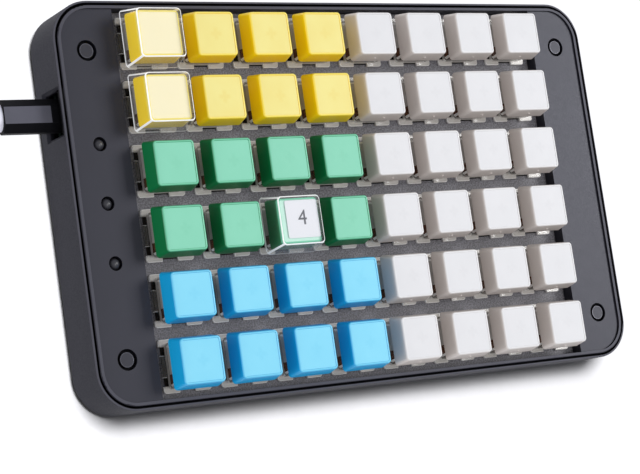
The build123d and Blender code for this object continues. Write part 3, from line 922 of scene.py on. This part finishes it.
# %% Tabs and bars on the plate
tab_size = (5.3, 2.1)
tab_x, tab_y = 5.15, 6.75
tab_outside = 7
tab_corner = 0.9
front_bar = (5.4, 0.8, plate_top, bar_top)
front_bar_y = 6.3
side_bar = (1.4, 6.4, plate_top - 0.5, bar_top)
side_bar_x = 6.9
sharp_turn = 0.9
fine_round = 0.2
edge_area = 1.2
bm = bmesh.new()
for i in (-1, 1):
    for j in (-1, 1):
        tab = block(bm, *tab_size, plate_top, flange_top, i * tab_x, j * tab_y)
        corners = [(edge, edge.verts[0].co) for edge in edges_of(tab, 2)]
        outer = [edge for edge, at in corners if at.x * i > tab_outside and at.y * j > tab_outside]
        rounded(bm, outer, tab_corner, 4)
    block(bm, *front_bar, 0, i * front_bar_y)
    block(bm, *side_bar, i * side_bar_x, 0)
bm.normal_update()
sharp = [edge for edge in bm.edges if edge.calc_face_angle() > sharp_turn]
rounded(bm, sharp, fine_round, 1)
# Small faces get the white edge finish, a painted highlight; the side bars are hazy.
for face in bm.faces:
    x, y = face.calc_center_median().xy
    hazy = abs(x) > 6 and abs(y) < 3.3
    face.material_index = 1 if face.calc_area() < edge_area else 2 if hazy else 0
repeated(bm, key_places)
tab_finishes = (housing_milky, housing_edge_painted_highlight, housing_haze)
finished("switch_flange_tabs", bm, tab_finishes, "switch_bases")
print("tabs and bars made")

# %% Contact leaves
leaf_x, leaf_y = 2.5, 4.8
leaf_thickness = 0.3
leaf_low = 9.9
leaf = (3.0, leaf_thickness, leaf_low, 15.5)
leg = (0.9, leaf_thickness, 5.6, leaf_low)
bm = bmesh.new()
for x in (-leaf_x, leaf_x):
    block(bm, *leaf, x, leaf_y)
    block(bm, *leg, x, leaf_y)
repeated(bm, key_places)
finished("contact_leaves", bm, (leaf_copper,), "switch_bases")
print("contact leaves:", 2 * len(key_places))

# %% [markdown]
# ## Upper switch housings
# The upper half is a skirt and a tapered neck, open inside so that the slider and the pressed cap have
# room. The skirt is a block whose two ends are opened and bridged. The neck is sunk from above and from
# below until the two hollows meet, and their rims are merged. The brown slider shows through the front
# of the neck, so a cut marks that part off and tints it. Narrow outer faces are white, a painted
# highlight.

# %% Upper housings
skirt_top = 16.2
skirt = (12.2, 13.2, flange_top, skirt_top)
skirt_opening = 0.836
neck_base_width = 12.0
neck_top_width = 10.2
neck_top = 20.5
neck_roof = 1.2
neck_opening = 0.7
neck_wall = 0.85
neck_ceiling = 0.873
ceiling_opening = 0.802
housing_corner = 0.6
tinted_front = -2.5
neck_edge_area = 3
bm = bmesh.new()
rounded(bm, edges_of(block(bm, *skirt), 2), housing_corner, 3)
ends = [sunk(bm, largest_face(bm, way), skirt_opening, 0) for way in (up, down)]
rims = [edge for face in ends for edge in face.edges]
bmesh.ops.delete(bm, geom=ends, context="FACES_ONLY")
bmesh.ops.bridge_loops(bm, edges=rims)

tapered(bm, neck_base_width, neck_top_width, skirt_top, neck_top, housing_corner, 3)
opening = sunk(bm, largest_face(bm, up), neck_opening, 0)
opening = sunk(bm, opening, 1, neck_roof)
ceiling = sunk(bm, largest_face(bm, down), neck_wall, 0)
ceiling = sunk(bm, ceiling, neck_ceiling, neck_top - skirt_top - neck_roof)
ceiling = sunk(bm, ceiling, ceiling_opening, 0)
rims = list(opening.verts) + list(ceiling.verts)
bmesh.ops.delete(bm, geom=[opening, ceiling], context="FACES_ONLY")
bmesh.ops.remove_doubles(bm, verts=rims, dist=0.1)
cut_across(bm, (0, tinted_front, 0), (0, 1, 0))
bmesh.ops.recalc_face_normals(bm, faces=bm.faces)
print("open edges of a housing:", sum(edge.is_boundary for edge in bm.edges))
# Narrow outer faces get the white edge finish, a painted highlight.
for face in bm.faces:
    middle = face.calc_center_median()
    outer = face.normal.xy.dot(middle.xy) > 0.1
    tinted = middle.y < tinted_front and middle.z > skirt_top + 0.1
    narrow = face.calc_area() < neck_edge_area
    face.material_index = 3 if not outer else 1 if narrow else 0 if tinted else 2
repeated(bm, key_places)
neck_finishes = (housing_clear, housing_edge_painted_highlight, housing_milky, housing_haze)
finished("switch_upper_housings", bm, neck_finishes, "switch_tops")
print("upper housings made")

# %% [markdown]
# ## Case
# The cover and the tray already have the right shape in the frame, but most of their corners are knife
# sharp, and moulded plastic never is. A copy of each is merged and its flat faces are joined again. Then
# the bead of the cover and the outward corners of the tray get a narrow round. The finish of a face
# follows its way from the rim: black painted shade in the groove and on the bead's faces that look back,
# a paler painted highlight on the bead's level top and on the lip's upper outer round. Level faces are
# shaded flat, because a smooth normal would bend the mirrored light across a large panel.

# %% Where the rim is
case_length = 193.2
case_depth = 119.0
case_corner = 12.0
rim_low = 18.25
groove_low = 14
groove = (10.8, 11.45)
groove_walls = (10.2, 11.5)
bead_end = 11
lip_edge = 11.75
nearly_level = 0.93
looks_back = 0.3
looks_up = 0.4


def rim_finish(face):
    """1, painted shade, in the groove round the cover and on bead faces that look back; 2, a painted
    highlight, on the bead's top and the lip's upper outer round; else 0.
    """
    x, y, z = face.calc_center_median()
    past_x = max(abs(x) - case_length / 2 + case_corner, 0)
    past_y = max(abs(y) - case_depth / 2 + case_corner, 0)
    reach = math.hypot(past_x, past_y)
    if z > groove_low and groove[0] < reach < groove[1]:
        return 1
    if groove_low < z < rim_low and groove_walls[0] < reach < groove_walls[1]:
        return 1
    if z < rim_low:
        return 0
    # The bead's level top takes the painted highlight and its faces that look back the painted shade; the
    # lip's upper outer round takes the painted highlight.
    if reach < bead_end:
        return 2 if face.normal.z > nearly_level else 1 if face.normal.y > looks_back else 0
    return 2 if reach > lip_edge and face.normal.z > looks_up else 0


print("case:", case_length, "by", case_depth, "mm")

# %% Softened copies
cover_rounds = [(18.6, 0.5, 4)]
tray_rounds = [(18.3, 0.22, 4), (0, 0.15, 2)]
flat_turn = math.radians(0.5)
corner_turn = math.radians(30)
level = 0.999


def merged_copy(node):
    """A copy of a solid's mesh in millimetres, with its loose triangles merged."""
    bm = bmesh.new()
    bm.from_mesh(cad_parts[node].data)
    bmesh.ops.scale(bm, vec=(1 / mm, 1 / mm, 1 / mm), verts=bm.verts)
    bmesh.ops.remove_doubles(bm, verts=bm.verts, dist=0.001)
    return bm


def softened(name, node, finish, rounds):
    """A copy whose outward edges get rounds. Each round has its lowest height, width and segments."""
    bm = merged_copy(node)
    bmesh.ops.dissolve_limit(bm, angle_limit=flat_turn, verts=bm.verts, edges=bm.edges)
    bm.normal_update()
    for low, width, segments in rounds:
        sharp = [e for e in bm.edges if e.is_convex and e.calc_face_angle() > corner_turn]
        rounded(bm, [e for e in sharp if min(v.co.z for v in e.verts) >= low], width, segments)
    for face in bm.faces:
        face.material_index = rim_finish(face)
    mesh = to_mesh(name, bm, (finish, gap_painted_shade, rim_painted_highlight))
    for polygon in mesh.polygons:
        polygon.use_smooth = abs(polygon.normal.z) < level
    print(name, len(mesh.polygons), "faces")
    return show(name, mesh, [node])


softened("cover_of_case", "top_case", case_black, cover_rounds)
tray = softened("tray_of_case", "bottom_case", tray_black, tray_rounds)

# %% [markdown]
# ## Plate
# The plate in the well is a flat sheet with square holes, and the frame's own mesh is all that it
# needs. It only gets its sandy paint.

# %% Plate in the well
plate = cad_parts["switch_plate"]
plate.data.materials.clear()
plate.data.materials.append(plate_sand)
print("plate:", len(plate.data.polygons), "faces")

# %% [markdown]
# ## Board
# The board is hidden under the plate. Its holes are in the frame's mesh already, so the board is a copy
# of that mesh without the pieces that stand on it: every corner above the board is taken, and then all
# that hangs together with one. The socket and the controller are built again with their own finishes.

# %% Board, socket and chip
socket = (6.6, 8.6, board_top, 12.1)
socket_x = -90.2
socket_wall = 0.35
socket_depth = 6.0
chip = (7.0, 7.0, board_top, 9.9)
chip_place = (-82.85, -30.0)
no_draft = 0.01
bm = merged_copy("circuit_board")
standing = [corner for corner in bm.verts if corner.co.z > board_top + 0.01]
joined = set(standing)
while standing:
    corner = standing.pop()
    near = {edge.other_vert(corner) for edge in corner.link_edges} - joined
    joined |= near
    standing += near
bmesh.ops.delete(bm, geom=list(joined), context="VERTS")
finished("bare_board", bm, (board_green,), "circuit_board")

bm = bmesh.new()
block(bm, *socket, socket_x, usb_y)
bm.normal_update()
mouth = largest_face(bm, Vector((-1, 0, 0)))
step_in(bm, mouth, socket_wall)
step_in(bm, mouth, no_draft, socket_depth)
finished("board_socket", bm, (shell_steel,), "circuit_board")
bm = bmesh.new()
rounded(bm, edges_of(block(bm, *chip, *chip_place)), 0.1, 1)
finished("board_chip", bm, (chip_black,), "circuit_board")
print("board, socket and chip made")

# %% [markdown]
# ## Lamps
# Three lamps stand in holes of the left panel, unlit, as dark domes. A round piece is quickest to make
# by spinning half its outline, given as radii and heights, round an upright axis.

# %% Lamps
def turned(bm, outline, x, y, segments):
    """Spin half an outline of radii and heights round an upright axis."""
    before = set(bm.verts)
    corners = [bm.verts.new((radius, 0, height)) for radius, height in outline]
    edges = [bm.edges.new(pair) for pair in zip(corners, corners[1:])]
    bmesh.ops.spin(
        bm,
        geom=corners + edges,
        cent=(0, 0, 0),
        axis=(0, 0, 1),
        angle=2 * math.pi,
        steps=segments,
        use_merge=True,
        use_duplicate=False,
    )
    bmesh.ops.remove_doubles(bm, verts=[c for c in bm.verts if c not in before], dist=0.001)
    fresh = [corner for corner in bm.verts if corner not in before]
    faces = list({face for corner in fresh for face in corner.link_faces})
    bmesh.ops.recalc_face_normals(bm, faces=faces)
    bmesh.ops.translate(bm, vec=(x, y, 0), verts=fresh)


lamp_x = -86.05
lamp_step = 17.3
lamp_radius = 1.7
dome_low = 16.6
lamp_leg = (0.5, 0.5, board_top, 13.3)
lamp_leg_x = 1.27
angles = [math.radians(angle) for angle in range(0, 91, 15)]
dome = [(lamp_radius * math.sin(a), dome_low + lamp_radius * math.cos(a)) for a in angles]
lamp_outline = dome + [(lamp_radius, 14.2), (2.0, 14.2), (2.0, 13.2), (0, 13.2)]
bm = bmesh.new()
for step in (-1, 0, 1):
    turned(bm, lamp_outline, lamp_x, step * lamp_step, 24)
    for side in (-1, 1):
        block(bm, *lamp_leg, lamp_x + side * lamp_leg_x, step * lamp_step)
finished("indicator_lamps", bm, (lamp_smoke,), "circuit_board")
print("lamps made")

# %% [markdown]
# ## Corner plugs, screws and feet
# A round plug covers each corner screw. Its narrow chamfer is a paler painted highlight, a thin light
# ring, and its side below the rim is painted black as the shade in the gap of its hole. The feet are soft
# round pads with a rounded edge. All of them are spun.

# %% Plugs, screws and feet
corners_of_case = [(i, j) for i in (-1, 1) for j in (-1, 1)]
fastener_places = [(i * 86.35, j * 44.8) for i, j in corners_of_case]
foot_places = [(i * 80.6, j * 44.5) for i, j in corners_of_case]
plug_outline = [(0, 17.8), (1.92, 17.8), (2.0, 17.9), (2.1, 17.9), (2.2, 17.75), (2.2, 16.9)]
plug_outline += [(2.9, 16.9), (2.9, 16.7), (0, 16.7)]
screw_outline = [(0, 15.7), (1.25, 15.7), (1.25, 16.7), (2.6, 16.7), (2.75, 16.5), (2.75, 14.9)]
screw_outline += [(1.4, 14.9), (1.4, 5.3), (1.0, 4.9), (0, 4.9)]
plug_flat = 1.9
plug_rim = 17.8
foot_outline = [(0, 0), (4.9, 0), (5.3, 0.12), (5.5, 0.5), (5.5, 2.6), (0, 2.6)]


def all_turned(outline, places, segments):
    """One turned shape at each place."""
    bm = bmesh.new()
    for x, y in places:
        turned(bm, outline, x, y, segments)
    return bm


bm = all_turned(plug_outline, fastener_places, 40)
# The chamfer ring takes a paler painted highlight, and the side below the rim is painted black as shade in
# the gap.
for face in bm.faces:
    middle = face.calc_center_median()
    reach = min(math.hypot(middle.x - x, middle.y - y) for x, y in fastener_places)
    face.material_index = 0 if reach < plug_flat else 1 if middle.z > plug_rim else 2
plug_finishes = (fastener_black, plug_ring_painted_highlight, gap_painted_shade)
finished("corner_plugs", bm, plug_finishes, "corner_fasteners", 25)
bm = all_turned(screw_outline, fastener_places, 24)
finished("corner_screws", bm, (screw_steel,), "corner_fasteners")
bm = all_turned(foot_outline, foot_places, 40)
finished("rubber_foot_pads", bm, (foot_rubber,), "rubber_feet")
print("plugs, screws and feet made")

# %% [markdown]
# ## The plug in the window
# The plug's grip has eight sides. A cube is bevelled with a single segment to cut its four long edges,
# then stretched a little, because the cut is wider than it is high. Its upper and lower sides are matt
# and look paler than the rest, but only outside the window, so a cut marks off where that begins.

# %% Grip and nose of the plug
stretch = 1.175
grip_length = 18.3
grip_width = 9.8
grip_half_height = 3.2
grip_x = -103.15
grip_cut = 2.0
grip_round = 0.22
grip_flat_end = -97.8
nose = (5.0, 6.9, -0.95, 0.95)
nose_x = -91.5
nose_round = 0.6
bm = bmesh.new()
grip = block(bm, grip_length, grip_width / stretch, -grip_half_height, grip_half_height, grip_x)
rounded(bm, edges_of(grip, 0), grip_cut, 1)
bmesh.ops.scale(bm, vec=(1, stretch, 1), verts=bm.verts)
rounded(bm, list(bm.edges), grip_round, 3)
cut_across(bm, (grip_flat_end, 0, 0), (1, 0, 0))
for face in bm.faces:
    outside = face.calc_center_median().x < grip_flat_end
    face.material_index = 1 if outside and abs(face.normal.z) > 0.95 else 0
bmesh.ops.translate(bm, vec=(0, usb_y, usb_z), verts=bm.verts)
grip_finishes = (grip_black, grip_flat)
grip_piece = finished("plug_grip", bm, grip_finishes, "cable_plugs", 20)

bm = bmesh.new()
rounded(bm, edges_of(block(bm, *nose, nose_x), 0), nose_round, 4)
bmesh.ops.translate(bm, vec=(0, usb_y, usb_z), verts=bm.verts)
nose_piece = finished("plug_nose", bm, (shell_steel,), "cable_plugs")
print("grip and nose made")

# %% [markdown]
# ## Boots
# A boot keeps the lead from kinking where it meets its plug. It narrows to the lead in soft rings: a
# circle is drawn out and scaled, station by station, along a list of widths and heights.

# %% Boot of the keyboard plug
def drawn_out(bm, stations, start, turn):
    """A round bar along one way: stations give the way along it, the width and the height there."""
    ring = bmesh.ops.create_circle(bm, cap_ends=True, segments=24, radius=0.5)["verts"]
    face = ring[0].link_faces[0]
    at, wide, high = stations[0]
    bmesh.ops.scale(bm, vec=(wide, high, 1), verts=ring)
    bmesh.ops.translate(bm, vec=(0, 0, at), verts=ring)
    for (before, old_wide, old_high), (at, wide, high) in zip(stations, stations[1:]):
        made = bmesh.ops.extrude_face_region(bm, geom=[face])["geom"]
        if before > stations[0][0]:
            bmesh.ops.delete(bm, geom=[face], context="FACES_ONLY")
        ring = only(made, bmesh.types.BMVert)
        face = only(made, bmesh.types.BMFace)[0]
        bmesh.ops.scale(bm, vec=(wide / old_wide, high / old_high, 1), verts=ring)
        bmesh.ops.translate(bm, vec=(0, 0, at - before), verts=ring)
    bmesh.ops.remove_doubles(bm, verts=bm.verts, dist=0.0001)
    bmesh.ops.recalc_face_normals(bm, faces=bm.faces)
    bmesh.ops.transform(bm, matrix=turn, verts=bm.verts)
    bmesh.ops.translate(bm, vec=start, verts=bm.verts)


boot_rings = [(0, 8.2, 5.0), (0.3, 8.4, 5.2), (1.6, 8.0, 5.1), (1.9, 7.2, 4.7), (2.5, 7.1, 4.7)]
boot_rings += [(2.8, 7.6, 5.0), (4.2, 7.0, 4.9), (4.5, 6.2, 4.5), (5.1, 6.1, 4.5), (5.4, 6.6, 4.8)]
boot_rings += [(6.8, 6.0, 4.8), (7.1, 5.3, 4.4), (7.7, 5.2, 4.4), (8.0, 5.6, 4.7), (9.7, 4.8, 4.7)]
boot_rings += [(10.0, 4.4, 4.4)]
boot_x = -112.3
to_left = Matrix(((0, 0, -1), (1, 0, 0), (0, -1, 0)))
bm = bmesh.new()
drawn_out(bm, boot_rings, (boot_x, usb_y, usb_z), to_left)
boot_piece = finished("plug_boot", bm, (boot_pale,), "cable_plugs")
print("boot:", len(boot_rings), "rings")

# %% [markdown]
# ## The computer plug
# The far end of the lead is a flat computer plug: a boot, a rounded body with a shallow grip on top,
# a steel shell that is sunk from its mouth, and a dark tongue inside the shell.

# %% Computer plug
plug_x, plug_y, plug_z = cord_end
to_front = Matrix(((1, 0, 0), (0, 0, -1), (0, 1, 0)))
front = Vector((0, -1, 0))
host_rings = [(0, 4.6, 4.6), (0.3, 4.9, 4.9), (2.6, 5.1, 5.1), (2.9, 4.6, 4.6), (3.7, 4.7, 4.7)]
host_rings += [(4.0, 5.4, 5.4), (6.6, 5.7, 5.7), (6.9, 5.1, 5.1), (7.7, 5.2, 5.2), (8.0, 6.0, 6.0)]
host_rings += [(12.0, 6.4, 6.4)]
bm = bmesh.new()
drawn_out(bm, host_rings, cord_end, to_front)
host_boot = finished("computer_plug_boot", bm, (boot_pale,), "cable_plugs")

host_size = (15.6, 24.0, 0.0, 7.2)
host_y = plug_y - 24.0
host_margin = 2.0
host_recess = 0.3
bm = bmesh.new()
rounded(bm, edges_of(block(bm, *host_size, plug_x, host_y), 1), 1.2, 4)
rounded(bm, largest_face(bm, -front).edges, 0.8, 3)
rounded(bm, largest_face(bm, front).edges, 0.3, 2)
grip_face = largest_face(bm, up)
step_in(bm, grip_face, host_margin)
step_in(bm, grip_face, host_recess, host_recess)
host_body = finished("computer_plug_body", bm, (grip_black,), "cable_plugs")

shell_length = 12.0
shell_wall = 0.4
shell_size = (12.0, shell_length, plug_z - 2.25, plug_z + 2.25)
shell_y = plug_y - 42.0
bm = bmesh.new()
block(bm, *shell_size, plug_x, shell_y)
bm.normal_update()
mouth = largest_face(bm, front)
step_in(bm, mouth, shell_wall)
step_in(bm, mouth, no_draft, shell_length - 0.5)
long_edges = [e for e in edges_of(list(bm.verts), 1) if e.calc_length() > shell_length - 0.2]
rounded(bm, long_edges, 0.25, 2)
host_shell = finished("computer_plug_shell", bm, (shell_steel,), "cable_plugs")
tongue_size = (11.0, 9.0, plug_z - 1.8, plug_z + 0.05)
tongue_y = plug_y - 40.6
bm = bmesh.new()
rounded(bm, edges_of(block(bm, *tongue_size, plug_x, tongue_y)), 0.15, 2)
host_tongue = finished("computer_plug_tongue", bm, (chip_black,), "cable_plugs")
print("computer plug made")

# %% [markdown]
# ## Strap
# A woven strap round the front of the coil holds the turns together: a block is rounded, its two ends
# are taken off, and a wall is given to what is left.

# %% Strap round the coil
strap_size = (7.0, 24.6, strap_thickness / 2, 9.6)
strap_y = -23.6
strap_corner = 3.6
bm = bmesh.new()
rounded(bm, edges_of(block(bm, *strap_size, coil_middle[0], strap_y), 0), strap_corner, 6)
ends = [largest_face(bm, Vector((side, 0, 0))) for side in (1, -1)]
bmesh.ops.delete(bm, geom=ends, context="FACES")
bmesh.ops.solidify(bm, geom=list(bm.faces), thickness=strap_thickness / 2)
strap = finished("coil_strap", bm, (strap_black,), "usb_coil")

# %% [markdown]
# ## Floor
# The floor is a mid grey that its own lamp lights up to white. A white floor would throw so much light
# back that the shadow under the case goes pale.

# %% Floor
bm = bmesh.new()
bmesh.ops.create_grid(bm, x_segments=8, y_segments=8, size=3000)
floor_white = moulded(
    "floor_white", (116, 116, 117), (120, 120, 121), (0.75, 0.9), 4.0, (0.02, 0.1)
)
floor = put("floor", to_mesh("floor", bm, (floor_white,)))
print("floor made")

# %% [markdown]
# ## Light
# An even light from all round does most of the work, and soft lamps add to it. One hangs over the
# front. One stands high on the right: the right panel mirrors it and looks brighter than the left one.
# A long low one on the left reaches the first column of caps. The floor's lamp stands behind, so that a
# soft shadow falls along the front. Light linking keeps the floor's lamp off the keypad and the others
# off the floor, and lets only the tray throw that shadow.

# %% Light
world = bpy.data.worlds.new("studio")
bpy.context.scene.world = world
world.use_nodes = True
surround = world.node_tree.nodes["Background"]
surround.inputs["Color"].default_value = (0.96, 0.97, 1.0, 1.0)
surround.inputs["Strength"].default_value = 0.5


def holding(name, thing):
    """A collection of one object, for light linking."""
    collection = bpy.data.collections.new(name)
    collection.objects.link(thing)
    return collection


for_floor = holding("for_floor", floor)
not_floor = holding("not_floor", floor)
not_floor.collection_objects[0].light_linking.link_state = "EXCLUDE"


def softbox(name, place, width, height, power, receivers):
    """A soft light that looks at the keypad, and the collection that says what it reaches."""
    light = bpy.data.lights.new(name, "AREA")
    light.shape = "RECTANGLE"
    light.size = width
    light.size_y = height
    light.energy = power
    lamp = put(name, light)
    lamp.location = place
    lamp.light_linking.receiver_collection = receivers
    lamp.rotation_euler = (-Vector(place)).to_track_quat("-Z", "Y").to_euler()
    return lamp


softbox("light_top", (0.3, -0.5, 2.2), 0.6, 0.6, 12, not_floor)
softbox("light_right", (1.62, 0.35, 1.6), 0.8, 0.8, 24, not_floor)
softbox("light_left", (-1.4, -0.1, 0.2), 1.1, 0.3, 6, not_floor)
floor_lamp = softbox("light_floor", (-0.45, 0.4, 2.3), 0.72, 0.72, 300, for_floor)
floor_lamp.light_linking.blocker_collection = holding("for_shadow", tray)
bpy.context.scene.view_settings.view_transform = "Standard"
print("lights made")
